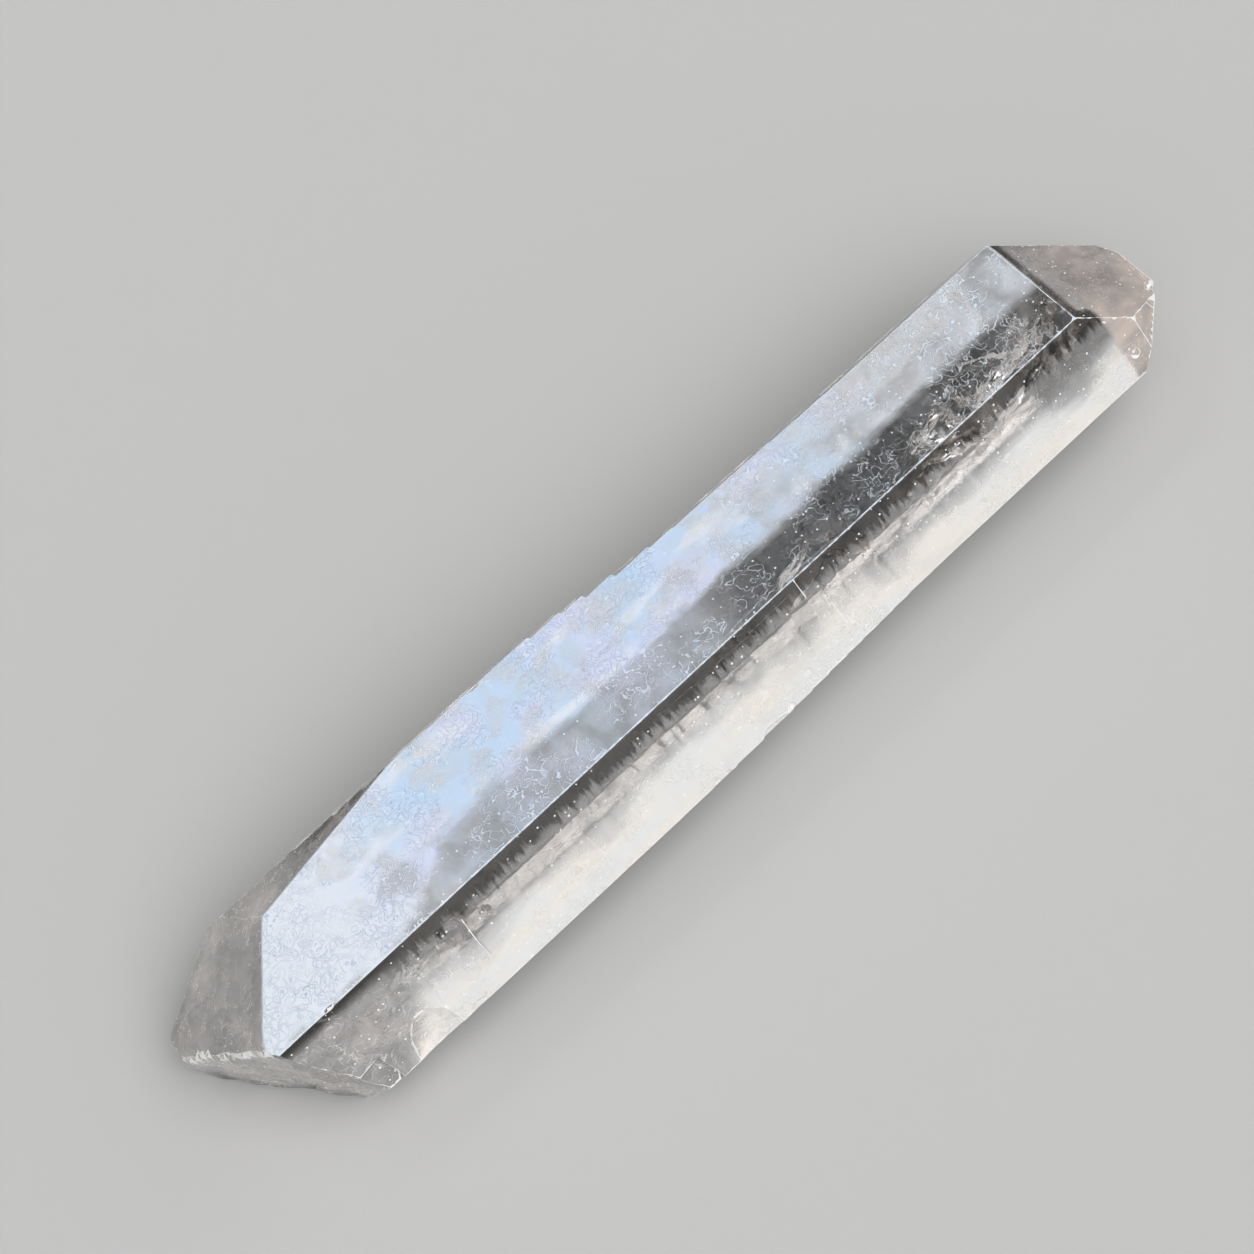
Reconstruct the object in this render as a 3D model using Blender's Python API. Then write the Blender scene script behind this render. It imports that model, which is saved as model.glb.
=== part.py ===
"""A natural quartz point of the ladder-ridged kind, one crystal in one solid, lying on a prism face.

Metres, +Z up. The crystal's length runs along X with the tip at +X. It lies on prism face D.
The shape is worked out about the crystal's own axis and then set down, centred, on Z = 0.
Angles go round the axis from the top face, A, towards the B side, which looks to -Y.
"""
import math

import bmesh
import bpy
import numpy as np
from mathutils import Matrix, Vector, noise

MM = 0.001

# the six prism faces: angle round the axis in degrees, and distance from the axis beside the tip
PRISM = {
    "A": (0.0, 15.0 * MM),
    "B": (60.0, 15.5 * MM),
    "C": (120.0, 14.4 * MM),
    "D": (180.0, 15.0 * MM),
    "E": (240.0, 15.5 * MM),
    "F": (300.0, 16.1 * MM),
}

# the six tip faces stand 51.8 degrees from the axis, as on every quartz crystal
# each has its prism face's angle, and a distance from the shoulder point on the axis
TIP_SLOPE = 51.8
TIP = {
    "A": 11.8 * MM,
    "B": 16.95 * MM,
    "C": 14.3 * MM,
    "D": 8.5 * MM,
    "E": 9.8 * MM,
    "F": 12.65 * MM,
}

# places along X count from the shoulder, where the top face meets its tip face
BLANK_FRONT = 24.0 * MM
BLANK_BACK = -186.0 * MM

# the crystal grows wider towards the base: rise of a face, and where the rise starts and ends
SWELLS = {
    "C": [(1.65 * MM, -36.0 * MM, -92.0 * MM)],
    "F": [(0.60 * MM, -24.0 * MM, -60.0 * MM), (2.75 * MM, -61.0 * MM, -97.0 * MM)],
}

# growth ledges across the axis, like the rungs of a ladder, deepest on alternate faces
LEDGE_FIRST = -6.0 * MM
LEDGE_LAST = -158.0 * MM
LEDGE_COUNT = 40
LEDGE_RUN = 0.45 * MM
LEDGE_WANDER = 0.9 * MM
RUNG_HEIGHT = {"B": 0.10 * MM, "C": 0.06 * MM, "E": 0.10 * MM, "F": 0.16 * MM}
STRIPS = 4

# a narrow face beside A widens towards the base: a point on its line across A, and its outward normal
STRIP_POINT = Vector((-118.0 * MM, 14.0 * MM, 15.0 * MM))
STRIP_NORMAL = Vector((-0.10, 0.643, 0.766))

# the broken base: three planes of fracture, each a point and an outward normal, with shell-like ripples
BREAKS = [
    (Vector((-149.0 * MM, 9.1 * MM, 15.0 * MM)), Vector((-0.527, 0.406, 0.747))),
    (Vector((-163.8 * MM, 0.0, -15.0 * MM)), Vector((-0.792, -0.602, -0.103))),
    (Vector((-173.2 * MM, 12.0 * MM, -8.0 * MM)), Vector((-0.996, 0.09, 0.0))),
]
BREAK_BLEND = 0.9 * MM
BREAK_CELL = 1.1 * MM
BREAK_REACH = 27.0 * MM
BREAK_CENTRE = (2.0 * MM, -10.0 * MM)
RIPPLE_LENGTH = 5.2 * MM
RIPPLE_HEIGHT = 0.40 * MM
HACKLE_HEIGHT = 0.42 * MM
HACKLE_SIZE = 5.6 * MM

# shell-shaped chips: the face they are on, their place along X, the share of the way across the face,
# their middle's height over the face, and their radii along, across and into it, in millimetres
CHIPS = [
    ("notch in the B C edge", "B", -69.8, 1.00, 0.2, (0.8, 1.5, 0.9)),
    ("step beside the notch", "B", -73.6, 1.02, 0.3, (3.8, 1.5, 0.8)),
    ("shallow chip on the B C edge", "B", -83.6, 1.02, 0.3, (1.2, 1.1, 0.7)),
    ("curved flake low on the B C edge", "B", -141.6, 0.96, 0.6, (4.6, 6.4, 2.0)),
    ("small flake up the B C edge", "B", -134.0, 1.01, 0.3, (2.4, 1.5, 0.9)),
    ("nick at the B C shoulder", "B", 5.0, 0.76, 0.2, (0.9, 0.9, 0.6)),
    ("bruise at the side of the tip", "B", 15.2, 0.62, -6.6, (1.5, 1.3, 1.7)),
    ("nick on the small tip face", "B", 10.2, 0.86, -2.0, (0.8, 1.1, 1.0)),
    ("nick on the A F edge", "A", -103.0, 0.00, 0.2, (1.8, 0.6, 0.5)),
    ("nick low on the A B edge", "A", -150.5, 1.00, 0.2, (1.6, 0.7, 0.6)),
]

# straight-walled flakes broken out of B at the foot: place along X of the upper wall, the share across
# where the side wall stands, the depth, and the turn of the walls in degrees
STEPS = [
    (-150.2, 0.68, 0.9, 9.0),
    (-156.9, 0.42, 0.5, -14.0),
]
STEP_SIZE = 16.0 * MM

QUARTZ_COLOUR = (0.93, 0.91, 0.89, 1.0)
QUARTZ_IOR = 1.544


def clear_scene():
    """Remove every object that the file holds."""
    for old in list(bpy.data.objects):
        bpy.data.objects.remove(old, do_unlink=True)


def quartz_material():
    """Clear colourless quartz."""
    material = bpy.data.materials.new("quartz")
    material.use_nodes = True
    shader = material.node_tree.nodes["Principled BSDF"]
    shader.inputs["Base Color"].default_value = QUARTZ_COLOUR
    shader.inputs["Roughness"].default_value = 0.12
    shader.inputs["Metallic"].default_value = 0.0
    shader.inputs["IOR"].default_value = QUARTZ_IOR
    shader.inputs["Transmission Weight"].default_value = 1.0
    return material


def side_normal(angle):
    """Outward direction of a prism face from its angle round the axis."""
    turn = math.radians(angle)
    return Vector((0.0, -math.sin(turn), math.cos(turn)))


def tip_normal(angle):
    """Outward direction of the tip face above the prism face at that angle."""
    slope = math.radians(TIP_SLOPE)
    return Vector((math.cos(slope), 0.0, 0.0)) + math.sin(slope) * side_normal(angle)


def swell(face, x):
    """Steady widening of a prism face from the tip towards the base."""
    total = 0.0
    for rise, start, end in SWELLS.get(face, []):
        share = min(max((start - x) / (start - end), 0.0), 1.0)
        total += rise * share * share * (3.0 - 2.0 * share)
    return total


def ledges():
    """Places of the growth ledges, unevenly spaced, with the rung height and width share of each."""
    dice = np.random.default_rng(7)
    gaps = dice.uniform(0.4, 1.6, LEDGE_COUNT)
    along = np.cumsum(gaps) / gaps.sum()
    places = []
    for share in along:
        x = LEDGE_FIRST + (LEDGE_LAST - LEDGE_FIRST) * share
        strength = {face: dice.uniform(-1.0, 1.0) for face in RUNG_HEIGHT}
        middle = dice.uniform(0.35, 0.75)
        places.append((x, strength, middle))
    return places


def rung(face, across, strength, middle):
    """Height of one rung at a share of the way across its face: nothing at the edges, full in the middle."""
    if face not in RUNG_HEIGHT:
        return 0.0
    spread = 1.0 - abs(across - middle) / max(middle, 1.0 - middle)
    fade = max(0.0, spread) * math.sin(math.pi * across)
    return RUNG_HEIGHT[face] * strength[face] * fade


def corner(first, first_out, second, second_out):
    """Point in Y and Z where two neighbouring prism faces meet, at those distances from the axis."""
    one = side_normal(PRISM[first][0])
    two = side_normal(PRISM[second][0])
    pair = np.array([[one.y, one.z], [two.y, two.z]])
    return np.linalg.solve(pair, np.array([first_out, second_out]))


def ring(x, swell_at, strength, middle, phase):
    """One closed ring of points round the crystal, wavering a little along X as growth lines do."""
    names = list(PRISM)
    outs = [PRISM[name][1] + swell(name, swell_at) for name in names]
    points = []
    for index, name in enumerate(names):
        before = (index - 1) % len(names)
        after = (index + 1) % len(names)
        start = corner(names[before], outs[before], name, outs[index])
        end = corner(name, outs[index], names[after], outs[after])
        normal = side_normal(PRISM[name][0])
        for step in range(STRIPS):
            across = step / STRIPS
            y, z = start + (end - start) * across
            lift = rung(name, across, strength, middle)
            turn = 2.0 * math.pi * (index + across) / len(names)
            waver = LEDGE_WANDER * math.sin(2.0 * turn + phase) * math.cos(3.0 * turn - 2.0 * phase)
            points.append(Vector((x + waver, y + normal.y * lift, z + normal.z * lift)))
    return points


def blank():
    """The prism with its growth ledges, open at neither end, before the tip is cut and the base broken."""
    plain = {face: 0.0 for face in RUNG_HEIGHT}
    rings = [ring(BLANK_FRONT, LEDGE_FIRST, plain, 0.5, 0.0)]
    strength = plain
    middle = 0.5
    swell_at = LEDGE_FIRST
    for number, (x, next_strength, next_middle) in enumerate(ledges()):
        phase = 0.35 * number
        rings.append(ring(x, swell_at, strength, middle, phase))
        strength = next_strength
        middle = next_middle
        swell_at = x - 1.5 * MM
        rings.append(ring(x - LEDGE_RUN, swell_at, strength, middle, phase))
    rings.append(ring(BLANK_BACK, swell_at, plain, 0.5, 0.0))

    work = bmesh.new()
    rows = [[work.verts.new(point) for point in points] for points in rings]
    for front, back in zip(rows, rows[1:]):
        for index in range(len(front)):
            after = (index + 1) % len(front)
            work.faces.new((front[index], front[after], back[after], back[index]))
    work.faces.new(reversed(rows[0]))
    work.faces.new(rows[-1])
    bmesh.ops.recalc_face_normals(work, faces=work.faces)
    return work


def cut(work, point, normal):
    """Cut a flat face: take away all that lies past the plane, and close the cut."""
    parts = work.verts[:] + work.edges[:] + work.faces[:]
    found = bmesh.ops.bisect_plane(work, geom=parts, plane_co=point, plane_no=normal, clear_outer=True)
    rim = [part for part in found["geom_cut"] if isinstance(part, bmesh.types.BMEdge)]
    bmesh.ops.edgenet_fill(work, edges=rim)


def cut_faces(work):
    """The six tip faces and the narrow face beside A."""
    for name, out in TIP.items():
        normal = tip_normal(PRISM[name][0])
        cut(work, normal * out, normal)
    cut(work, STRIP_POINT, STRIP_NORMAL.normalized())


def new_object(name, work):
    """An object with that mesh, in the scene."""
    mesh = bpy.data.meshes.new(name)
    work.to_mesh(mesh)
    work.free()
    made = bpy.data.objects.new(name, mesh)
    bpy.context.scene.collection.objects.link(made)
    return made


def plane_x(plane, y, z):
    """Where a plane of fracture stands along X, over a point in Y and Z."""
    point, normal = plane
    return point.x - (normal.y * (y - point.y) + normal.z * (z - point.z)) / normal.x


def break_x(y, z):
    """Where the broken base stands along X: the foremost of its planes, with ripples and hackles.

    The planes run into each other over the blend's width, as they do on a shell-like break.
    """
    stands = [plane_x(plane, y, z) for plane in BREAKS]
    foremost = max(stands)
    x = foremost + BREAK_BLEND * math.log(sum(math.exp((stand - foremost) / BREAK_BLEND) for stand in stands))
    away = math.hypot(y - BREAK_CENTRE[0], z - BREAK_CENTRE[1])
    ripple = math.sin(2.0 * math.pi * away / RIPPLE_LENGTH) * math.exp(-away / (4.0 * RIPPLE_LENGTH))
    coarse = noise.noise(Vector((y, z, 0.0)) / HACKLE_SIZE)
    fine = noise.noise(Vector((y, z, 9.0)) / (0.45 * HACKLE_SIZE))
    return x + RIPPLE_HEIGHT * ripple + HACKLE_HEIGHT * (coarse + 0.5 * fine)


def break_cutter():
    """A block behind the base, its front face the broken surface."""
    steps = int(2.0 * BREAK_REACH / BREAK_CELL)
    work = bmesh.new()
    front = []
    back = []
    for row in range(steps + 1):
        y = -BREAK_REACH + BREAK_CELL * row
        front.append([])
        back.append([])
        for column in range(steps + 1):
            z = -BREAK_REACH + BREAK_CELL * column
            front[row].append(work.verts.new((break_x(y, z), y, z)))
            back[row].append(work.verts.new((BLANK_BACK - 60.0 * MM, y, z)))
    for row in range(steps):
        for column in range(steps):
            for sheet in (front, back):
                square = (sheet[row][column], sheet[row + 1][column],
                          sheet[row + 1][column + 1], sheet[row][column + 1])
                work.faces.new(square)
    for step in range(steps):
        walls = [
            (front[0][step], front[0][step + 1], back[0][step + 1], back[0][step]),
            (front[steps][step], front[steps][step + 1], back[steps][step + 1], back[steps][step]),
            (front[step][0], front[step + 1][0], back[step + 1][0], back[step][0]),
            (front[step][steps], front[step + 1][steps], back[step + 1][steps], back[step][steps]),
        ]
        for wall in walls:
            work.faces.new(wall)
    bmesh.ops.recalc_face_normals(work, faces=work.faces)
    return new_object("break", work)


def on_face(face, x, across, lift):
    """A point over a prism face: along X, a share of the way across the face, and a height above it."""
    names = list(PRISM)
    place = names.index(face)
    before = names[(place - 1) % len(names)]
    after = names[(place + 1) % len(names)]
    out = {name: PRISM[name][1] + swell(name, x) for name in (before, face, after)}
    start = corner(before, out[before], face, out[face])
    end = corner(face, out[face], after, out[after])
    y, z = start + (end - start) * across
    return Vector((x, y, z)) + side_normal(PRISM[face][0]) * lift


def chip_cutter(name, face, x, across, lift, radii):
    """A rounded scoop with a slightly uneven surface, for one chip."""
    work = bmesh.new()
    bmesh.ops.create_icosphere(work, subdivisions=2, radius=1.0)
    for vertex in work.verts:
        vertex.co *= 1.0 + 0.10 * noise.noise(vertex.co * 1.7 + Vector((x, across, lift)))
    bmesh.ops.transform(work, matrix=Matrix.Diagonal(Vector(radii) * MM).to_4x4(), verts=work.verts)
    turn = Matrix.Rotation(math.radians(PRISM[face][0]), 3, "X")
    bmesh.ops.rotate(work, verts=work.verts, matrix=turn)
    bmesh.ops.translate(work, verts=work.verts, vec=on_face(face, x * MM, across, lift * MM))
    return new_object(name, work)


def step_cutter(x, across, depth, turn):
    """A block whose corner takes a straight-walled flake out of face B, down to its depth."""
    work = bmesh.new()
    bmesh.ops.create_cube(work, size=STEP_SIZE)
    half = STEP_SIZE / 2.0
    bmesh.ops.translate(work, verts=work.verts, vec=(-half, -half, half - depth * MM))
    bmesh.ops.rotate(work, verts=work.verts, matrix=Matrix.Rotation(math.radians(turn), 3, "Z"))
    bmesh.ops.rotate(work, verts=work.verts, matrix=Matrix.Rotation(math.radians(PRISM["B"][0]), 3, "X"))
    bmesh.ops.translate(work, verts=work.verts, vec=on_face("B", x * MM, across, 0.0))
    return new_object("step", work)


def carve(body, cutter):
    """Take the cutter's shape out of the body."""
    boolean = body.modifiers.new("carve", "BOOLEAN")
    boolean.operation = "DIFFERENCE"
    boolean.solver = "EXACT"
    boolean.object = cutter
    graph = bpy.context.evaluated_depsgraph_get()
    carved = bpy.data.meshes.new_from_object(body.evaluated_get(graph))
    body.modifiers.clear()
    body.data = carved
    bpy.data.objects.remove(cutter, do_unlink=True)


def tidy(body):
    """Merge what the cuts left coplanar or tiny, and set the crystal down, centred, on Z = 0."""
    work = bmesh.new()
    work.from_mesh(body.data)
    bmesh.ops.remove_doubles(work, verts=work.verts, dist=0.03 * MM)
    bmesh.ops.dissolve_degenerate(work, edges=work.edges, dist=0.03 * MM)
    bmesh.ops.dissolve_limit(work, angle_limit=math.radians(0.02), verts=work.verts, edges=work.edges)
    bmesh.ops.triangulate(work, faces=work.faces)
    low = Vector([min(vertex.co[axis] for vertex in work.verts) for axis in range(3)])
    high = Vector([max(vertex.co[axis] for vertex in work.verts) for axis in range(3)])
    middle = (low + high) / 2.0
    bmesh.ops.translate(work, verts=work.verts, vec=Vector((-middle.x, -middle.y, -low.z)))
    bmesh.ops.recalc_face_normals(work, faces=work.faces)
    work.to_mesh(body.data)
    work.free()


def main():
    clear_scene()
    work = blank()
    cut_faces(work)
    crystal = new_object("crystal", work)
    for step in STEPS:
        carve(crystal, step_cutter(*step))
    carve(crystal, break_cutter())
    for chip in CHIPS:
        carve(crystal, chip_cutter(*chip))
    tidy(crystal)
    crystal.data.materials.clear()
    crystal.data.materials.append(quartz_material())


main()
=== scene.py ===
"""Looks of the quartz point: clear crystal, frosted and etched outside, fractured inside. Metres, +Z up."""

import math

import bmesh
import bpy
import numpy as np
from mathutils import Matrix, Vector, noise


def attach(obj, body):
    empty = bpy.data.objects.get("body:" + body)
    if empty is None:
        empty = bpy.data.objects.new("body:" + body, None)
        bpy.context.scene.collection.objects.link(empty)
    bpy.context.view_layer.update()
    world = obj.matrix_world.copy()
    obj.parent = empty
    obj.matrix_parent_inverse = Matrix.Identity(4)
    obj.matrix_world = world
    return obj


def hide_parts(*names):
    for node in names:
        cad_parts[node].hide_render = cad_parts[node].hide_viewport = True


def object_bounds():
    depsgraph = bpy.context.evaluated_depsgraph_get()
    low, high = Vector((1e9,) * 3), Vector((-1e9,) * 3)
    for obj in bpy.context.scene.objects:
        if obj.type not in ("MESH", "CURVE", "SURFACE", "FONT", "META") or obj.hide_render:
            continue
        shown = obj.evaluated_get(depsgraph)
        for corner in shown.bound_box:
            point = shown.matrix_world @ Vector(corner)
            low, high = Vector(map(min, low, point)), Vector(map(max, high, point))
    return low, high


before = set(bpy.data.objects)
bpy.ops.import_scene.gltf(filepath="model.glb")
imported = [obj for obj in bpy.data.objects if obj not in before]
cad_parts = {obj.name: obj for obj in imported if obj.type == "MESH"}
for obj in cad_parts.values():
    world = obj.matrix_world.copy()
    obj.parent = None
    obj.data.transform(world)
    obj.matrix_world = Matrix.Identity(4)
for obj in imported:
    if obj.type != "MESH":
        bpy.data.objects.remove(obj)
cad_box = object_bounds()

MM = 0.001

# the view: place of the camera, then its turn from straight down towards the -Y side,
# the tilt of the tip away from it, and the slope of the crystal in the picture, in degrees
CAMERA_PLACE = Vector((-58.3 * MM, -228.7 * MM, 472.1 * MM))
VIEW_TURN = 27.62
VIEW_TILT = 6.43
VIEW_ROLL = 42.63
LENS = 97.03

# the studio: strength and colour of its dome, then the direction that each soft patch of light comes from,
# the patch's half width along the crystal and across it in degrees, its strength and its colour
DOME = (0.08, (0.92, 0.95, 1.0))
PATCHES = [
    ((0.0, -0.62, 0.78), (68.0, 46.0), 0.60, (0.94, 0.97, 1.0)),
    ((-0.08, 0.455, 0.885), (16.0, 5.0), 2.0, (0.94, 0.97, 1.0)),
    ((0.15, -0.50, 0.85), (27.0, 24.0), 3.35, (0.985, 0.99, 1.0)),
    ((0.93, 0.10, 0.34), (32.0, 24.0), 0.25, (1.0, 0.96, 0.92)),
    ((-0.93, -0.10, 0.34), (32.0, 24.0), 0.25, (1.0, 0.96, 0.92)),
]
FLOOR_HALF = 4.0
FLOOR_DROP = 0.15 * MM
FLOOR_COLOUR = (0.58, 0.57, 0.555, 1.0)

# the crystal's own middle line: its place across and its height over the floor; then where its tip starts
AXIS_Y = -0.98 * MM
AXIS_Z = 15.0 * MM
SHOULDER_X = 78.37 * MM

# the fine mesh that carries the growth marks
WELD = 0.002 * MM
FLAT_ANGLE = 0.3
CUT_ALONG = 0.9 * MM
CUT_ACROSS = 0.9 * MM
WAVE_HEIGHT = 0.030 * MM
WAVE_SIZE = 6.0 * MM
STRIA_HEIGHT = 0.035 * MM
STRIA_STEP = 1.7 * MM
STRIA_BEND = 1.3 * MM
STRIA_PATCH = 16.0 * MM
SHARP_ANGLE = 9.0
EDGE_ANGLE = 16.0

# fracture veils inside: place from the middle of the shoulder and size along and across, in mm,
# then how each is turned about X, Y and Z, in degrees
VEILS = [
    ((-4.0, -2.5, 5.5), (15.0, 7.0), (35.0, 20.0, 25.0)),
    ((-11.0, -4.0, 4.0), (17.0, 6.5), (-30.0, -12.0, 10.0)),
    ((-17.0, -3.0, 7.0), (16.0, 6.0), (50.0, 15.0, -18.0)),
    ((-24.0, -4.5, 5.0), (15.0, 6.0), (-15.0, 25.0, 8.0)),
    ((-31.0, -5.0, 6.0), (12.0, 5.0), (60.0, -20.0, 15.0)),
    ((-48.0, -4.5, 6.5), (11.0, 4.0), (20.0, 30.0, -10.0)),
    ((-56.0, -5.0, 6.0), (9.0, 3.6), (-35.0, -15.0, 12.0)),
    ((-128.0, -6.0, 3.0), (13.0, 5.0), (25.0, 30.0, 20.0)),
    ((-140.0, -7.0, 4.0), (13.0, 6.5), (-25.0, -20.0, -15.0)),
    ((-150.0, -5.0, -2.0), (12.0, 6.0), (40.0, 35.0, 10.0)),
    ((-8.0, -6.5, 8.0), (12.0, 5.0), (70.0, -10.0, 30.0)),
    ((-14.0, -1.0, 8.5), (10.0, 6.0), (-60.0, 20.0, -25.0)),
    ((-27.0, -3.5, 7.5), (11.0, 4.0), (66.0, -15.0, 8.0)),
    ((-145.0, -10.0, 6.0), (7.0, 4.0), (65.0, 15.0, 40.0)),
    ((-152.0, -3.0, 6.0), (8.0, 5.0), (-55.0, 20.0, -30.0)),
    ((-158.0, -8.0, 1.0), (7.0, 4.0), (30.0, -40.0, 20.0)),
    ((-160.0, 2.0, 3.0), (8.0, 5.0), (-30.0, 45.0, 50.0)),
]
VEIL_GAP = 0.05 * MM
VEIL_CELL = 0.42 * MM
VEIL_FOLD = 1.4 * MM
VEIL_FOLD_SIZE = 4.8 * MM
VEIL_WRINKLE = 0.16 * MM
VEIL_WRINKLE_SIZE = 1.5 * MM
VEIL_MARGIN = 0.25 * MM
VEIL_SHRINK = 0.85
VEIL_TRIES = 12

# thread-like cracks: both ends from the middle of the shoulder and a sideways bend, in mm
THREADS = [
    ((-48.0, -8.9, 13.9), (-74.0, -8.8, 14.0), 0.9),
    ((-60.0, -9.4, 13.0), (-88.0, -9.3, 13.1), -0.7),
    ((-96.0, -12.6, 8.4), (-111.0, -12.4, 8.7), 0.3),
    ((-104.0, -13.6, 6.6), (-113.0, -11.6, 10.1), 0.2),
    ((-118.0, -12.4, 8.6), (-133.0, -12.3, 8.9), -0.4),
    ((-126.0, -10.6, 11.8), (-141.0, -10.8, 11.5), 0.5),
    ((-66.0, -2.0, 14.3), (-80.0, 3.5, 14.2), 1.2),
    ((-30.0, -12.0, 9.4), (-43.0, -11.6, 9.9), 0.5),
    ((-8.0, -3.0, 13.6), (-20.0, -6.5, 13.4), 0.8),
    ((-142.0, -6.0, 13.8), (-147.0, 4.5, 13.7), -0.6),
]
THREAD_RADIUS = 0.075 * MM
THREAD_STEPS = 44
THREAD_SIDES = 6
THREAD_WANDER = 0.30 * MM
THREAD_LIFT = 0.16 * MM

# tiny bubbles and inclusions
SPECK_COUNT = 260
SPECK_RADII = (0.05 * MM, 0.14 * MM)
SPECK_STRETCH = (0.7, 1.5)
SPECK_MARGIN = 0.35 * MM

# clear quartz
QUARTZ_IOR = 1.544
TINT = (0.86, 0.76, 0.68, 1.0)
TINT_DENSITY = 14.0
CLEAR = (1.0, 1.0, 1.0, 1.0)
# a dark tint painted into the clear skin beside the top face: painted shade, not a colour of the quartz
PAINTED_SHADE_TINT = (0.27, 0.26, 0.25, 1.0)

# zones of the surface, in mm: where a soft step starts and ends, up (Z) or along the crystal (X)
TOP_FACE_Z = (29.70, 29.84)
# the next three: where the cream frost, partly a painted bright band, turns to taupe painted half-shade
# going up, where the taupe haze starts, and where the band of painted shade beside the top face starts
CREAM_TO_TAUPE_Z = (23.0, 26.5)
TAUPE_Z = (30.8, 28.6)
PAINTED_SHADE_Z = (29.2, 30.6)
TEETH_LENGTH = 5.0
BROKEN_BASE_X = (-60.0, -68.0)
PALE_FOOT_X = (-40.0, -66.0)
GREY_TIP_X = (30.0, 62.0)
TIP_FACES_X = (81.0, 83.0)

# the top face, whose frost also carries a painted bluish sheen: the line above which its frost is white,
# how far that line dips at the foot and how soft it is, in mm across; then where it dips, where haze starts
# and where the white is full, in mm along
WHITE_Y = -0.8
WHITE_DIP = 9.0
WHITE_SOFT = 0.9
DIP_X = (-38.0, -62.0)
HAZE_X = (18.0, -4.0)
WHITE_X = (60.0, -15.0)

# the face below the top one: its limits, then the milky band along its lower half, partly frost and partly
# a painted bright band, and its broken end
FRONT_Y = -8.6
FRONT_Z = 13.0
FRONT_X = 82.0
BAND_Z = 21.4
BAND_SOFT = 3.0
BAND_END_X = (-67.0, -61.0)
FRONT_BROKEN_X = (-56.0, -66.0)
FRONT_EDGE_Z = 29.0

# the other faces: where the broken base and the tip start
BASE_X = (-56.0, -68.0)
BASE_Z = (0.0, 6.0)
TIP_X = 80.0

# sizes of the noise that makes all these limits wander, in mm
DRIFT_SIZE = 8.0
SMALL_SIZE = 2.5

# sizes of the surface marks in mm, depth of the etching, and how far the marks whiten and roughen the skin
ETCH_DEPTH = 0.035 * MM
ETCH_SIZE = 1.65
ETCH_TURNS = 2.4
ETCH_PATCH = 7.0
BASE_PATCH = 4.0
TEETH_SIZE = 0.7
PIT_SIZE = 1.1
WISP_SIZE = 5.0
STREAK_SIZE = 2.6
FLECK_SIZE = 2.6
# size of the noise that thins the white edge rims, partly wear and partly painted highlight
WEAR_AND_HIGHLIGHT_SIZE = 1.3
HUE_SIZE = 14.0
GLINT_SIZE = 4.0
TONE_SIZE = 5.0
DRAWN_OUT = (0.22, 1.0, 1.0)
DOT_CELL = 1.1
DOT_SHARE = 0.8
LINE_STRENGTH = 0.52
# how dark the painted shade in the grooves is
GROOVE_SHADE_STRENGTH = 0.62
# how much haze the taupe band adds; its taupe colour is painted half-shade
TAUPE_HAZE = 0.20
FROST_ROUGHNESS = 0.38
FROST_COVER = 0.90

# frost colours of the top face, which paint a sheen on it: painted blue and lilac reflection, pale painted
# glints, grey near the tip and a painted pale reflection at the foot; then the fine lines and the painted
# shade in the grooves beside them
BLUE = (0.62, 0.79, 1.0, 1.0)
LILAC = (0.74, 0.79, 1.0, 1.0)
GLINT = (0.92, 0.95, 1.0, 1.0)
GREY_TIP = (0.80, 0.84, 0.90, 1.0)
PALE_FOOT = (0.89, 0.93, 1.0, 1.0)
TOP_LINE = (0.84, 0.93, 1.0, 1.0)
TOP_GROOVE_SHADE = (0.36, 0.47, 0.66, 1.0)

# frost colours of the other faces: cream and milk, partly a painted bright band, taupe painted half-shade,
# warm frost at the base and peach at the tip, both painted warm light; then the fine lines and the painted
# shade in the grooves on them
CREAM = (0.86, 0.81, 0.74, 1.0)
MILK = (0.81, 0.80, 0.78, 1.0)
TAUPE = (0.66, 0.58, 0.52, 1.0)
BASE_FROST_WARM_LIGHT = (1.0, 0.90, 0.82, 1.0)
PEACH = (0.94, 0.68, 0.52, 1.0)
SIDE_LINE = (0.98, 0.96, 0.93, 1.0)
SIDE_GROOVE_SHADE = (0.60, 0.57, 0.53, 1.0)

# skin of the air gaps inside
GAP_MATT = 0.16
GAP_MATT_SIZE = 2.6
GAP_COLOUR = (1.0, 0.92, 0.85, 1.0)

# what the fine mesh holds at each of its points, as marks_at gives it, and whether a sharp edge runs there
MARKS = ("frost_and_sheen_top", "frost", "skin", "fringe")
EDGE = "edge"


def make_camera():
    """The camera at the photograph's angle of view."""
    turn = math.radians(VIEW_TURN)
    tilt = math.radians(VIEW_TILT)
    roll = math.radians(VIEW_ROLL)
    back = Vector((-math.sin(tilt), -math.sin(turn) * math.cos(tilt), math.cos(turn) * math.cos(tilt)))
    along = Vector((1.0, 0.0, 0.0))
    along = (along - back * along.dot(back)).normalized()
    across = along.cross(back)
    right = math.cos(roll) * along + math.sin(roll) * across
    up = back.cross(right)
    data = bpy.data.cameras.new("camera")
    data.lens = LENS
    data.sensor_width = 36.0
    data.clip_start = 0.01
    camera = bpy.data.objects.new("camera", data)
    bpy.context.scene.collection.objects.link(camera)
    axes = Matrix((right, up, back)).transposed().to_4x4()
    camera.matrix_world = Matrix.Translation(CAMERA_PLACE) @ axes
    bpy.context.scene.camera = camera


def socket(tree, target, value):
    """Link a node's output to a socket, or write a plain value in it."""
    if isinstance(value, bpy.types.NodeSocket):
        tree.links.new(value, target)
    else:
        target.default_value = value


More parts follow.
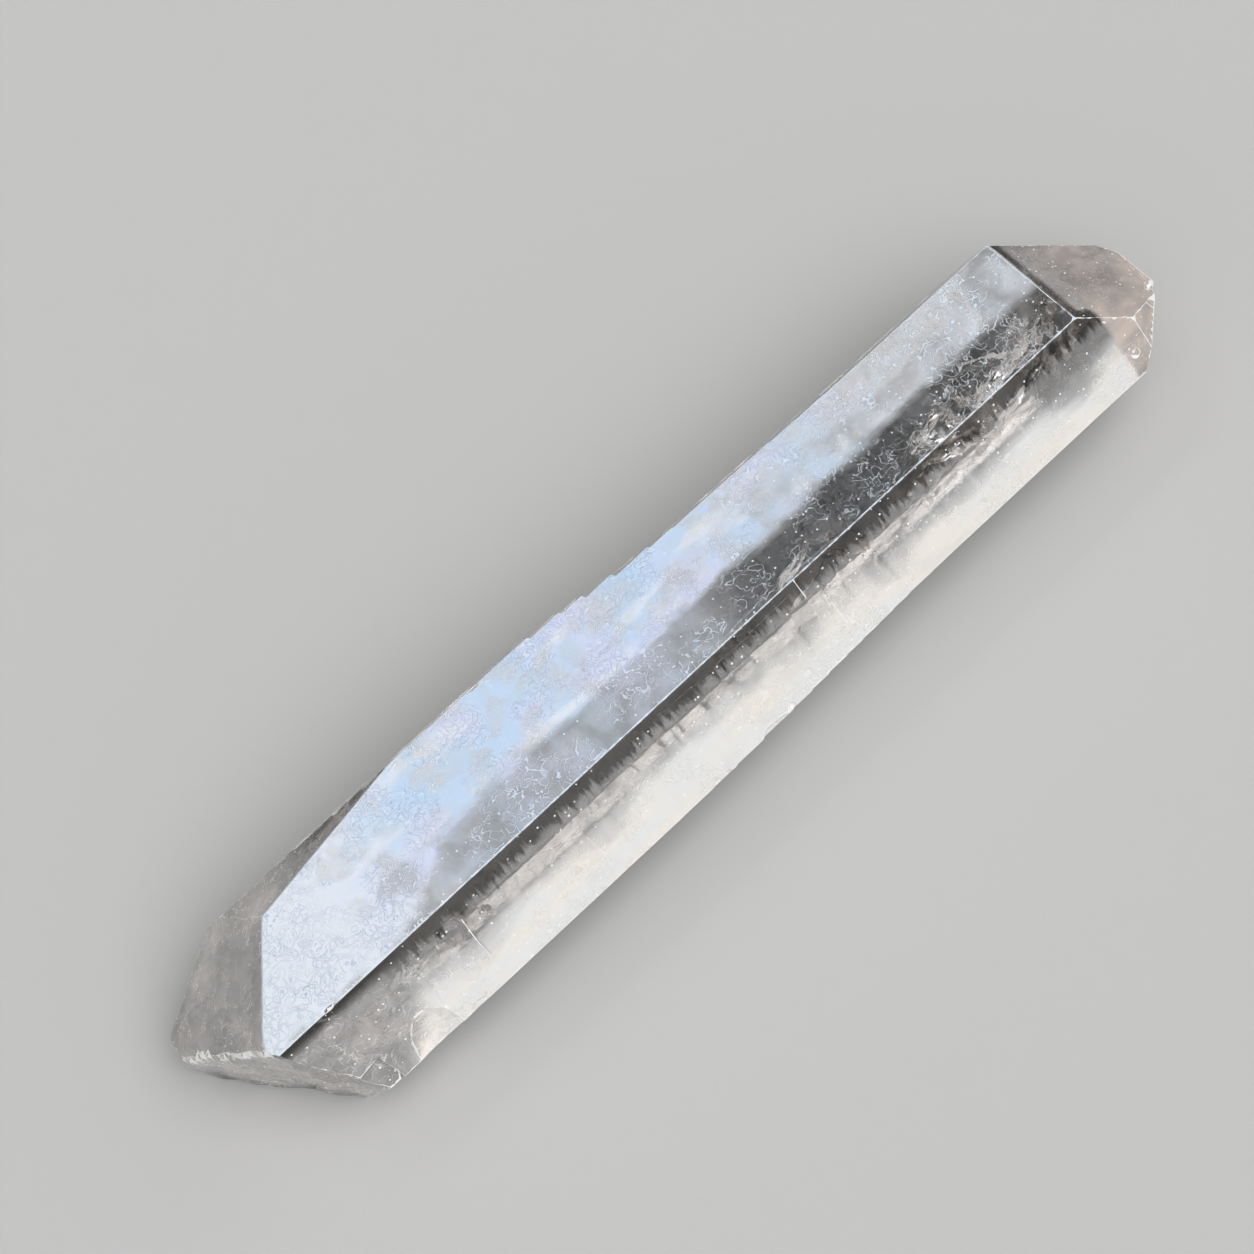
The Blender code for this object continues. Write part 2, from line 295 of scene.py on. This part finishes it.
def calc(tree, kind, first, second=0.0, third=0.0):
    """One step of arithmetic; a kind that starts with CLAMPED_ keeps its result from 0 to 1."""
    node = tree.nodes.new("ShaderNodeMath")
    node.operation = kind.removeprefix("CLAMPED_")
    node.use_clamp = kind.startswith("CLAMPED_")
    socket(tree, node.inputs[0], first)
    socket(tree, node.inputs[1], second)
    socket(tree, node.inputs[2], third)
    return node.outputs[0]


def between(tree, value, low, high, to_low=0.0, to_high=1.0):
    """A soft step from to_low to to_high while the value goes from low to high."""
    node = tree.nodes.new("ShaderNodeMapRange")
    node.interpolation_type = "SMOOTHSTEP"
    socket(tree, node.inputs["Value"], value)
    node.inputs["From Min"].default_value = low
    node.inputs["From Max"].default_value = high
    node.inputs["To Min"].default_value = to_low
    node.inputs["To Max"].default_value = to_high
    return node.outputs["Result"]


def mixed(tree, share, first, second):
    """A colour between two."""
    node = tree.nodes.new("ShaderNodeMix")
    node.data_type = "RGBA"
    socket(tree, node.inputs[0], share)
    socket(tree, node.inputs[6], first)
    socket(tree, node.inputs[7], second)
    return node.outputs[2]


def mixed_value(tree, share, first, second):
    """A number between two."""
    return calc(tree, "ADD", first, calc(tree, "MULTIPLY", share, calc(tree, "SUBTRACT", second, first)))


def vector_step(tree, kind, first, second):
    """One step of arithmetic on two vectors."""
    node = tree.nodes.new("ShaderNodeVectorMath")
    node.operation = kind
    socket(tree, node.inputs[0], first)
    socket(tree, node.inputs[1], second)
    return node


def stretched(tree, place, scale):
    """The place with each axis scaled by its own share."""
    return vector_step(tree, "MULTIPLY", place, scale).outputs["Vector"]


def place_in_mm(tree):
    """Where a point is on the object, in mm."""
    coords = tree.nodes.new("ShaderNodeTexCoord")
    return stretched(tree, coords.outputs["Object"], (1.0 / MM, 1.0 / MM, 1.0 / MM))


def cloud(tree, place, size, detail=2.0, distortion=0.0):
    """Noise whose lumps are about the given size, in mm."""
    node = tree.nodes.new("ShaderNodeTexNoise")
    tree.links.new(place, node.inputs["Vector"])
    node.inputs["Scale"].default_value = 1.0 / size
    node.inputs["Detail"].default_value = detail
    node.inputs["Distortion"].default_value = distortion
    return node.outputs["Fac"]


def amount(tree, name):
    """A value that the mesh holds at each point."""
    node = tree.nodes.new("ShaderNodeAttribute")
    node.attribute_name = name
    return node.outputs["Fac"]


def new_material(name):
    """A material with its node tree and its shader."""
    material = bpy.data.materials.new(name)
    material.use_nodes = True
    return material, material.node_tree, material.node_tree.nodes["Principled BSDF"]


def patch_share(tree, seen, direction, widths):
    """How far a direction of view is inside a soft oval patch of light, from 0 to 1."""
    aim = Vector(direction).normalized()
    across = aim.cross(Vector((1.0, 0.0, 0.0))).normalized()
    along = across.cross(aim)
    spread = []
    for side, width in zip((along, across), widths):
        lean = vector_step(tree, "DOT_PRODUCT", seen, side).outputs["Value"]
        spread.append(calc(tree, "POWER", calc(tree, "DIVIDE", lean, math.sin(math.radians(width))), 2.0))
    front = vector_step(tree, "DOT_PRODUCT", seen, aim).outputs["Value"]
    oval = between(tree, calc(tree, "ADD", spread[0], spread[1]), 1.5, 0.5)
    return calc(tree, "MULTIPLY", oval, calc(tree, "GREATER_THAN", front, 0.0))


def make_lights():
    """A studio dome with soft oval patches of light."""
    world = bpy.data.worlds.new("studio")
    bpy.context.scene.world = world
    world.use_nodes = True
    tree = world.node_tree
    seen = tree.nodes.new("ShaderNodeTexCoord").outputs["Generated"]
    strength, colour = DOME
    base = tree.nodes.new("ShaderNodeCombineXYZ")
    for index in range(3):
        base.inputs[index].default_value = strength * colour[index]
    total = base.outputs[0]
    for direction, widths, strength, colour in PATCHES:
        scale = tree.nodes.new("ShaderNodeVectorMath")
        scale.operation = "SCALE"
        scale.inputs[0].default_value = [strength * part for part in colour]
        tree.links.new(patch_share(tree, seen, direction, widths), scale.inputs["Scale"])
        total = vector_step(tree, "ADD", total, scale.outputs["Vector"]).outputs["Vector"]
    background = tree.nodes["Background"]
    tree.links.new(total, background.inputs["Color"])
    background.inputs["Strength"].default_value = 1.0


def make_floor():
    """A plain pale floor."""
    mesh = bpy.data.meshes.new("floor")
    signs = [(-1.0, -1.0), (1.0, -1.0), (1.0, 1.0), (-1.0, 1.0)]
    corners = [(FLOOR_HALF * x, FLOOR_HALF * y, 0.0) for x, y in signs]
    mesh.from_pydata(corners, [], [(0, 1, 2, 3)])
    floor = bpy.data.objects.new("floor", mesh)
    bpy.context.scene.collection.objects.link(floor)
    floor.location.z = -FLOOR_DROP
    material, _, shader = new_material("floor")
    shader.inputs["Base Color"].default_value = FLOOR_COLOUR
    shader.inputs["Roughness"].default_value = 0.8
    shader.inputs["Specular IOR Level"].default_value = 0.2
    mesh.materials.append(material)


def fine_blank():
    """The CAD crystal's shape cut into small cells, so that it can carry fine relief."""
    work = bmesh.new()
    work.from_mesh(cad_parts["crystal"].data)
    bmesh.ops.remove_doubles(work, verts=work.verts, dist=WELD)
    flat = math.radians(FLAT_ANGLE)
    bmesh.ops.dissolve_limit(work, angle_limit=flat, verts=work.verts, edges=work.edges)
    low, high = cad_box
    for axis, step in ((0, CUT_ALONG), (1, CUT_ACROSS)):
        normal = Vector((0.0, 0.0, 0.0))
        normal[axis] = 1.0
        place = low[axis] + 0.5 * step
        while place < high[axis] - 0.3 * step:
            parts = work.verts[:] + work.edges[:] + work.faces[:]
            spot = normal * place
            bmesh.ops.bisect_plane(work, geom=parts, plane_co=spot, plane_no=normal, dist=0.02 * MM)
            place += step
    return work


def stria(x, y, z):
    """Growth marks across the axis: small uneven steps whose strength comes and goes in patches."""
    bend = STRIA_BEND * noise.noise(Vector((x / (30.0 * MM), y / (9.0 * MM), z / (9.0 * MM))))
    place = (x + bend) / STRIA_STEP
    cell = math.floor(place)
    inside = place - cell
    height = noise.noise(Vector((cell * 7.31, 2.0, 0.0)))
    height_next = noise.noise(Vector(((cell + 1) * 7.31, 2.0, 0.0)))
    share = min(max((inside - 0.35) / 0.3, 0.0), 1.0)
    patch = noise.noise(Vector((x, y * 2.2, z * 2.2)) / STRIA_PATCH)
    return (height + (height_next - height) * share) * max(0.0, min(1.0, 0.5 + 1.8 * patch))


def add_relief(work):
    """Move the fine mesh in and out by the growth marks, leaving the face that it rests on flat."""
    work.normal_update()
    moves = []
    for vertex in work.verts:
        if vertex.co.z < 0.02 * MM:
            continue
        x, y, z = vertex.co
        wave = noise.noise(Vector((x, 1.6 * y, 1.6 * z)) / WAVE_SIZE)
        moves.append((vertex, vertex.normal * (WAVE_HEIGHT * wave + STRIA_HEIGHT * stria(x, y, z))))
    for vertex, move in moves:
        vertex.co += move
        vertex.co.z = max(vertex.co.z, 0.0)


def rise(value, low, high):
    """0 below low, 1 above high and a soft step between; high may be the smaller."""
    share = min(max((value - low) / (high - low), 0.0), 1.0)
    return share * share * (3.0 - 2.0 * share)


def top_frost_and_sheen(x, y, drift, small):
    """How frosted the top face is, frost that also carries its painted sheen: hazy beside its lower edge,
    white above a line that dips at the foot.
    """
    start = WHITE_Y - WHITE_DIP * rise(x, *DIP_X) + 1.0 * drift + 0.4 * small
    share = rise(y, start - WHITE_SOFT, start + WHITE_SOFT)
    hazy = 0.07 + 0.50 * rise(x + 6.0 * drift, *HAZE_X)
    full = 0.70 + 0.40 * rise(x, *WHITE_X) + 0.24 * drift
    return hazy + share * (full - hazy)


def front_marks(x, z, drift, small):
    """Frost, etching and reach of the painted shade band on the face below the top one: a milky band along
    its lower half, partly frost and partly painted highlight.
    """
    start = BAND_Z + 1.6 * drift + 0.8 * small
    # the milky band: partly frost, partly a painted bright band of light
    share = rise(z, start + BAND_SOFT, start - BAND_SOFT) * rise(x + 5.0 * drift, *BAND_END_X)
    broken = rise(x, *FRONT_BROKEN_X) * rise(FRONT_EDGE_Z - z, 0.0, 1.5)
    frost = share * (1.0 + 0.2 * drift) + 0.34 * broken
    skin = 0.12 + 0.60 * share + 0.75 * broken
    return frost, skin, 1.0 - broken


def other_marks(x, y, z, drift):
    """Frost, etching and no painted shade band on all the other faces: clear but for the broken base and
    the tip, whose frost takes painted warm light.
    """
    at_base = rise(x + 6.0 * drift, *BASE_X) * rise(z + 3.0 * drift, *BASE_Z)
    at_tip = 1.0 if x > TIP_X else 0.0
    frost = 0.08 * rise(drift, 0.1, 0.5) + at_base * (0.50 + 0.15 * drift)
    frost += at_tip * (0.36 + 0.20 * drift + 0.16 * rise(y, -2.0, -8.0))
    return frost, 0.10 + 0.80 * at_base + 0.15 * at_tip, 0.0


def marks_at(point):
    """At a point: the frost of the top face, which also carries its painted sheen, the frost of the others,
    how etched the skin is, and how far the jagged band of painted shade beside the top face can reach
    there."""
    # places in mm, with y from the crystal's middle line
    x, y, z = [part / MM for part in point]
    y -= AXIS_Y / MM
    drift = noise.noise(Vector((x, y, z)) / DRIFT_SIZE)
    small = noise.noise(Vector((x, y, z)) / SMALL_SIZE + Vector((5.0, 5.0, 5.0)))
    on_front = y < FRONT_Y and z > FRONT_Z and x < FRONT_X
    marks = front_marks(x, z, drift, small) if on_front else other_marks(x, y, z, drift)
    return top_frost_and_sheen(x, y, drift, small), *marks


def mark_outside(work):
    """Write on each outer point how frosted and etched it is and whether it lies on a sharp edge, whose
    white rim is partly wear and partly painted highlight.
    """
    for name in (*MARKS, EDGE):
        work.verts.layers.float.new(name)
    layers = [work.verts.layers.float[name] for name in MARKS]
    edge = work.verts.layers.float[EDGE]
    work.normal_update()
    for vertex in work.verts:
        for layer, value in zip(layers, marks_at(vertex.co)):
            vertex[layer] = max(0.0, value)
    for line in work.edges:
        if len(line.link_faces) == 2 and line.calc_face_angle() > math.radians(EDGE_ANGLE):
            # white edge rims: partly wear, partly painted highlight
            wear_and_highlight = min(1.0, 0.80 + 0.25 * line.calc_length() / CUT_ALONG)
            for vertex in line.verts:
                vertex[edge] = max(vertex[edge], wear_and_highlight)


def inside_crystal(point, margin):
    """True where a point is well inside the CAD crystal."""
    found, nearest, normal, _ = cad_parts["crystal"].closest_point_on_mesh(point)
    return found and (nearest - point).dot(normal) > margin


def fitted_veil(work, number, place, size, turn):
    """A veil made smaller until all of it lies well inside the crystal."""
    long, wide = size
    for _ in range(VEIL_TRIES):
        before = len(work.verts)
        veil(work, number, place, (long, wide), turn)
        work.verts.ensure_lookup_table()
        made = work.verts[before:]
        if all(inside_crystal(vertex.co, VEIL_MARGIN) for vertex in made[::5]):
            return
        bmesh.ops.delete(work, geom=made, context="VERTS")
        long *= VEIL_SHRINK
        wide *= VEIL_SHRINK


def veil_fold(spot, seed):
    """How far a veil bends out of its plane at a spot on it."""
    fold = VEIL_FOLD * noise.noise(spot / VEIL_FOLD_SIZE + seed)
    return fold + VEIL_WRINKLE * noise.noise(spot / VEIL_WRINKLE_SIZE + seed)


def veil(work, number, place, size, turn):
    """A thin wrinkled air gap inside the crystal, closed at its uneven rim; its faces look into the gap."""
    centre = Vector((SHOULDER_X, AXIS_Y, AXIS_Z)) + Vector(place) * MM
    half_long = size[0] * MM / 2.0
    half_wide = size[1] * MM / 2.0
    lean, tip, spin = [Matrix.Rotation(math.radians(turn[axis]), 3, "XYZ"[axis]) for axis in range(3)]
    turned = spin @ tip @ lean
    rings = max(4, int(half_wide / VEIL_CELL))
    spokes = int(2.0 * math.pi * math.sqrt(half_long * half_wide) / VEIL_CELL / 1.4)
    seed = Vector((number * 11.7, 3.1, 5.9))
    upper = []
    lower = []
    for ring in range(1, rings + 1):
        share = ring / rings
        upper_row = []
        lower_row = []
        for spoke in range(spokes):
            angle = 2.0 * math.pi * spoke / spokes
            round_spot = Vector((math.cos(angle), math.sin(angle), 0.0))
            rim = 1.0 + 0.35 * noise.noise(round_spot * 1.5 + seed)
            x = half_long * share * rim * math.cos(angle)
            y = half_wide * share * rim * math.sin(angle)
            spot = Vector((x, y, 0.0))
            fold = veil_fold(spot, seed)
            gap = VEIL_GAP * (1.0 - share ** 4) * (0.6 + 0.4 * noise.noise(spot / (2.0 * MM) - seed))
            if ring == rings:
                point = work.verts.new(centre + turned @ Vector((x, y, fold)))
                upper_row.append(point)
                lower_row.append(point)
            else:
                upper_row.append(work.verts.new(centre + turned @ Vector((x, y, fold + gap))))
                lower_row.append(work.verts.new(centre + turned @ Vector((x, y, fold - gap))))
        upper.append(upper_row)
        lower.append(lower_row)
    middle_fold = (VEIL_FOLD + VEIL_WRINKLE) * noise.noise(seed)
    top = work.verts.new(centre + turned @ Vector((0.0, 0.0, middle_fold + VEIL_GAP)))
    bottom = work.verts.new(centre + turned @ Vector((0.0, 0.0, middle_fold - VEIL_GAP)))
    for spoke in range(spokes):
        after = (spoke + 1) % spokes
        work.faces.new((top, upper[0][after], upper[0][spoke]))
        work.faces.new((bottom, lower[0][spoke], lower[0][after]))
        for near, far in zip(upper, upper[1:]):
            work.faces.new((near[spoke], near[after], far[after], far[spoke]))
        for near, far in zip(lower, lower[1:]):
            work.faces.new((near[after], near[spoke], far[spoke], far[after]))


def thread(work, number, start, end, bend):
    """A thread-like crack: a thin closed air tube, pointed at both ends; its faces look into the air."""
    middle = Vector((SHOULDER_X, AXIS_Y, AXIS_Z))
    first = middle + Vector(start) * MM
    last = middle + Vector(end) * MM
    line = (last - first).normalized()
    sideways = line.cross(Vector((0.0, 0.0, 1.0))).normalized()
    upwards = sideways.cross(line)
    rings = []
    for step in range(1, THREAD_STEPS):
        share = step / THREAD_STEPS
        bulge = 4.0 * share * (1.0 - share)
        wander = THREAD_WANDER * noise.noise(Vector((share * 9.0, number * 5.3, 1.7)))
        lift = THREAD_LIFT * noise.noise(Vector((share * 7.0, number * 3.1, 8.4)))
        spot = first.lerp(last, share) + sideways * (bend * MM * bulge + wander) + upwards * lift
        radius = THREAD_RADIUS * bulge ** 0.4
        ring = []
        for spoke in range(THREAD_SIDES):
            angle = 2.0 * math.pi * spoke / THREAD_SIDES
            out = math.cos(angle) * sideways + math.sin(angle) * upwards
            ring.append(work.verts.new(spot + radius * out))
        rings.append(ring)
    near = work.verts.new(first)
    far = work.verts.new(last)
    for spoke in range(THREAD_SIDES):
        after = (spoke + 1) % THREAD_SIDES
        work.faces.new((near, rings[0][spoke], rings[0][after]))
        work.faces.new((far, rings[-1][after], rings[-1][spoke]))
        for here, there in zip(rings, rings[1:]):
            work.faces.new((here[after], here[spoke], there[spoke], there[after]))


def specks(work):
    """Tiny bubbles and inclusions, scattered all through the crystal; their faces look into them."""
    dice = np.random.default_rng(21)
    low, high = cad_box
    made = 0
    while made < SPECK_COUNT:
        spot = Vector([dice.uniform(low[axis], high[axis]) for axis in range(3)])
        if not inside_crystal(spot, SPECK_MARGIN):
            continue
        radius = dice.uniform(*SPECK_RADII)
        stretch = Vector([dice.uniform(*SPECK_STRETCH) for _ in range(3)])
        shape = bmesh.ops.create_icosphere(work, subdivisions=1, radius=radius)
        for vertex in shape["verts"]:
            vertex.co = spot + Vector([vertex.co[axis] * stretch[axis] for axis in range(3)])
        faces = {face for vertex in shape["verts"] for face in vertex.link_faces}
        bmesh.ops.reverse_faces(work, faces=list(faces))
        made += 1


def etch_wave(tree, place, size, turns):
    """Fine looping lines with angular bends: 0 on a line and 0.5 midway between two."""
    shift = tree.nodes.new("ShaderNodeTexNoise")
    tree.links.new(place, shift.inputs["Vector"])
    shift.inputs["Scale"].default_value = 1.0 / (1.6 * size)
    shift.inputs["Detail"].default_value = 1.0
    warped = tree.nodes.new("ShaderNodeVectorMath")
    warped.operation = "MULTIPLY_ADD"
    tree.links.new(shift.outputs["Color"], warped.inputs[0])
    warped.inputs[1].default_value = (2.6 * size, 2.6 * size, 2.6 * size)
    tree.links.new(place, warped.inputs[2])
    cells = tree.nodes.new("ShaderNodeTexVoronoi")
    cells.distance = "CHEBYCHEV"
    tree.links.new(warped.outputs["Vector"], cells.inputs["Vector"])
    cells.inputs["Scale"].default_value = 1.0 / size
    return calc(tree, "PINGPONG", calc(tree, "MULTIPLY", cells.outputs["Distance"], turns), 0.5)


def dots(tree, place, size, share):
    """Tiny round specks, in only some of the cells."""
    node = tree.nodes.new("ShaderNodeTexVoronoi")
    tree.links.new(place, node.inputs["Vector"])
    node.inputs["Scale"].default_value = 1.0 / size
    parts = tree.nodes.new("ShaderNodeSeparateColor")
    tree.links.new(node.outputs["Color"], parts.inputs[0])
    chosen = calc(tree, "GREATER_THAN", parts.outputs[0], 1.0 - share)
    reach = between(tree, parts.outputs[1], 0.0, 1.0, 0.06, 0.17)
    dot = calc(tree, "LESS_THAN", node.outputs["Distance"], reach)
    return calc(tree, "MULTIPLY", dot, chosen)


def surface_marks(tree, place):
    """Where each kind of mark lies on the skin: named values, most of them shares from 0 to 1."""
    parts = tree.nodes.new("ShaderNodeSeparateXYZ")
    tree.links.new(place, parts.inputs[0])
    along = parts.outputs["X"]
    up = parts.outputs["Z"]
    on_top = between(tree, up, *TOP_FACE_Z)
    skin = calc(tree, "MAXIMUM", on_top, amount(tree, "skin"))
    broken_end = between(tree, along, *BROKEN_BASE_X)

    # etch marks stand in patches, which are weaker and smaller on the broken base
    patch = between(tree, cloud(tree, place, ETCH_PATCH), 0.41, 0.53)
    base_patch = between(tree, cloud(tree, place, BASE_PATCH), 0.40, 0.60, 0.10, 0.60)
    base_patch = calc(tree, "MULTIPLY_ADD", on_top, 0.40, base_patch)
    patch = mixed_value(tree, broken_end, patch, base_patch)
    wave = etch_wave(tree, place, ETCH_SIZE, ETCH_TURNS)
    loops = calc(tree, "MULTIPLY", between(tree, wave, 0.11, 0.04), patch)
    # painted shade: the skin darker in the grooves beside the etch lines
    groove_shade = calc(tree, "MULTIPLY", between(tree, wave, 0.12, 0.17), between(tree, wave, 0.30, 0.22))
    groove_shade = calc(tree, "MULTIPLY", calc(tree, "MULTIPLY", groove_shade, patch), skin)

    # the jagged band of painted shade beside the top face, and below it the taupe haze, whose colour is
    # painted half-shade
    teeth = cloud(tree, stretched(tree, place, (1.0, 0.10, 0.10)), TEETH_SIZE)
    off_top = calc(tree, "MULTIPLY", amount(tree, "fringe"), calc(tree, "SUBTRACT", 1.0, on_top))
    jagged = calc(tree, "ADD", up, calc(tree, "MULTIPLY", teeth, TEETH_LENGTH))

    # white edge rims: partly wear, partly painted highlight
    wear_and_highlight = between(tree, cloud(tree, place, WEAR_AND_HIGHLIGHT_SIZE, 3.0), 0.34, 0.70, 0.93, 0.76)
    etched = calc(tree, "GREATER_THAN", skin, 0.01)
    return {
        "along": along,
        "up": up,
        "on_top": on_top,
        "skin": skin,
        "broken_end": broken_end,
        "patch": patch,
        "loops": loops,
        "lines": calc(tree, "MULTIPLY", calc(tree, "MULTIPLY", loops, skin), LINE_STRENGTH),
        "groove_shade": calc(tree, "MULTIPLY", groove_shade, GROOVE_SHADE_STRENGTH),
        "comb": calc(tree, "MULTIPLY", teeth, patch),
        "taupe": calc(tree, "MULTIPLY", off_top, between(tree, jagged, *TAUPE_Z)),
        "painted_shade_band": calc(tree, "MULTIPLY", off_top, between(tree, jagged, *PAINTED_SHADE_Z)),
        "edge_rims_wear_and_highlight": calc(tree, "GREATER_THAN", amount(tree, EDGE), wear_and_highlight),
        "dots": calc(tree, "MULTIPLY", dots(tree, place, DOT_CELL, DOT_SHARE), etched),
    }


def frost_share(tree, place, drawn, marks):
    """How much frost covers the skin: wispy on the top face, where it carries the painted sheen, streaky on
    the others, flecked at the base.
    """
    wisps = between(tree, cloud(tree, place, WISP_SIZE, 5.0, 0.5), 0.34, 0.66, 0.58, 1.0)
    streaks = between(tree, cloud(tree, drawn, STREAK_SIZE, 4.0, 0.3), 0.30, 0.66, 0.68, 1.0)
    flecks = between(tree, cloud(tree, place, FLECK_SIZE, 5.0, 0.6), 0.36, 0.66, 0.80, 1.05)
    patchy = mixed_value(tree, marks["broken_end"], streaks, flecks)
    top = calc(tree, "MULTIPLY", amount(tree, "frost_and_sheen_top"), marks["on_top"])
    top = calc(tree, "MULTIPLY", top, wisps)
    frost = calc(tree, "ADD", top, calc(tree, "MULTIPLY", amount(tree, "frost"), patchy))
    frost = calc(tree, "MULTIPLY_ADD", marks["taupe"], TAUPE_HAZE, frost)
    return calc(tree, "MULTIPLY", frost, calc(tree, "MULTIPLY_ADD", marks["patch"], 0.10, 1.0))


def top_colour(tree, place, drawn, marks):
    """Frost on the top face, coloured as a painted sheen: blue and lilac painted reflection with pale
    glints, grey near the tip and a pale painted reflection at the foot.
    """
    hue = between(tree, cloud(tree, place, HUE_SIZE), 0.42, 0.60)
    colour = mixed(tree, hue, BLUE, LILAC)
    glints = between(tree, cloud(tree, drawn, GLINT_SIZE, 3.0, 0.4), 0.50, 0.66, 0.0, 0.75)
    colour = mixed(tree, glints, colour, GLINT)
    colour = mixed(tree, between(tree, marks["along"], *GREY_TIP_X), colour, GREY_TIP)
    return mixed(tree, between(tree, marks["along"], *PALE_FOOT_X), colour, PALE_FOOT)


def side_colour(tree, drawn, marks):
    """Frost on the other faces: milky low down, partly painted highlight, and taupe higher up, painted
    half-shade; painted warm light at the base and the tip.
    """
    tone = between(tree, cloud(tree, drawn, TONE_SIZE), 0.42, 0.60)
    colour = mixed(tree, tone, CREAM, MILK)
    colour = mixed(tree, between(tree, marks["up"], *CREAM_TO_TAUPE_Z), colour, TAUPE)
    # painted warm light at the broken base and on the tip faces
    colour = mixed(tree, marks["broken_end"], colour, BASE_FROST_WARM_LIGHT)
    return mixed(tree, between(tree, marks["along"], *TIP_FACES_X), colour, PEACH)


def skin_colour(tree, place, drawn, marks, white):
    """The skin's colour: clear, or darkened by a painted shade tint, where there is no frost; in the frost,
    white lines and the painted shade of the grooves.
    """
    on_top = marks["on_top"]
    frost = mixed(tree, on_top, side_colour(tree, drawn, marks), top_colour(tree, place, drawn, marks))
    # painted shade in the grooves
    frost = mixed(tree, marks["groove_shade"], frost, mixed(tree, on_top, SIDE_GROOVE_SHADE, TOP_GROOVE_SHADE))
    bright = calc(tree, "CLAMPED_ADD", calc(tree, "ADD", marks["lines"], marks["edge_rims_wear_and_highlight"]), marks["dots"])
    frost = mixed(tree, bright, frost, mixed(tree, on_top, SIDE_LINE, TOP_LINE))
    # painted shade: the clear skin darkened in the band beside the top face
    return mixed(tree, white, mixed(tree, marks["painted_shade_band"], CLEAR, PAINTED_SHADE_TINT), frost)


def etched_normal(tree, place, marks):
    """The fine relief of etch lines, comb-like teeth and pits."""
    relief = calc(tree, "MULTIPLY_ADD", marks["comb"], 0.9, marks["loops"])
    relief = calc(tree, "MULTIPLY_ADD", cloud(tree, place, PIT_SIZE, 2.0, 0.6), 0.9, relief)
    bump = tree.nodes.new("ShaderNodeBump")
    bump.inputs["Strength"].default_value = 1.0
    bump.inputs["Distance"].default_value = ETCH_DEPTH
    tree.links.new(calc(tree, "MULTIPLY", relief, marks["skin"]), bump.inputs["Height"])
    return bump.outputs["Normal"]


def quartz_material():
    """Clear quartz with a faint warm tint, frosted and etched in patches; its frost colours carry painted
    sheen, highlights, shade and warm light; with white edge rims, partly wear and partly painted highlight,
    and specks.
    """
    material, tree, shader = new_material("quartz")
    place = place_in_mm(tree)
    drawn = stretched(tree, place, DRAWN_OUT)
    marks = surface_marks(tree, place)
    white = calc(tree, "ADD", frost_share(tree, place, drawn, marks), marks["lines"])
    white = calc(tree, "CLAMPED_ADD", white, calc(tree, "ADD", marks["edge_rims_wear_and_highlight"], marks["dots"]))
    covered = calc(tree, "MULTIPLY", white, FROST_COVER)
    shader.inputs["IOR"].default_value = QUARTZ_IOR
    tree.links.new(calc(tree, "MULTIPLY", white, FROST_ROUGHNESS), shader.inputs["Roughness"])
    tree.links.new(calc(tree, "SUBTRACT", 1.0, covered), shader.inputs["Transmission Weight"])
    tree.links.new(skin_colour(tree, place, drawn, marks, white), shader.inputs["Base Color"])
    tree.links.new(etched_normal(tree, place, marks), shader.inputs["Normal"])
    absorb = tree.nodes.new("ShaderNodeVolumeAbsorption")
    absorb.inputs["Color"].default_value = TINT
    absorb.inputs["Density"].default_value = TINT_DENSITY
    tree.links.new(absorb.outputs["Volume"], tree.nodes["Material Output"].inputs["Volume"])
    return material


def fracture_material():
    """The skin of the air gaps inside: clear, with matt patches that catch warm light."""
    material, tree, shader = new_material("quartz_fracture")
    matt = between(tree, cloud(tree, place_in_mm(tree), GAP_MATT_SIZE), 0.45, 0.60)
    shader.inputs["IOR"].default_value = QUARTZ_IOR
    shader.inputs["Transmission Weight"].default_value = 1.0
    tree.links.new(calc(tree, "MULTIPLY", matt, GAP_MATT), shader.inputs["Roughness"])
    tree.links.new(mixed(tree, matt, CLEAR, GAP_COLOUR), shader.inputs["Base Color"])
    return material


def make_crystal():
    """The crystal: one mesh of its marked and rippled outside and the air gaps and specks inside it."""
    work = fine_blank()
    mark_outside(work)
    add_relief(work)
    outer = len(work.faces)
    for number, (place, size, turn) in enumerate(VEILS):
        fitted_veil(work, number, place, size, turn)
    for number, (first, last, bend) in enumerate(THREADS):
        thread(work, number, first, last, bend)
    specks(work)
    work.faces.ensure_lookup_table()
    for face in work.faces[outer:]:
        face.material_index = 1
    mesh = bpy.data.meshes.new("quartz_crystal")
    work.to_mesh(mesh)
    work.free()
    mesh.polygons.foreach_set("use_smooth", [True] * len(mesh.polygons))
    mesh.set_sharp_from_angle(angle=math.radians(SHARP_ANGLE))
    mesh.materials.append(quartz_material())
    mesh.materials.append(fracture_material())
    crystal = bpy.data.objects.new("quartz_crystal", mesh)
    bpy.context.scene.collection.objects.link(crystal)
    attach(crystal, "root")
    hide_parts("crystal")


def render_settings():
    """Enough bounces for clear crystal, and quiet fractures."""
    scene = bpy.context.scene
    scene.cycles.max_bounces = 15
    scene.cycles.transmission_bounces = 15
    scene.cycles.glossy_bounces = 15
    scene.cycles.diffuse_bounces = 3
    scene.cycles.caustics_refractive = False
    scene.cycles.caustics_reflective = False
    scene.cycles.sample_clamp_indirect = 6.0
    scene.cycles.use_adaptive_sampling = True
    scene.cycles.adaptive_threshold = 0.03
    scene.cycles.adaptive_min_samples = 12
    scene.cycles.use_denoising = True
    scene.view_settings.view_transform = "Standard"


def main():
    """The whole scene: view, light, floor and crystal."""
    make_camera()
    make_lights()
    make_floor()
    make_crystal()
    render_settings()


main()
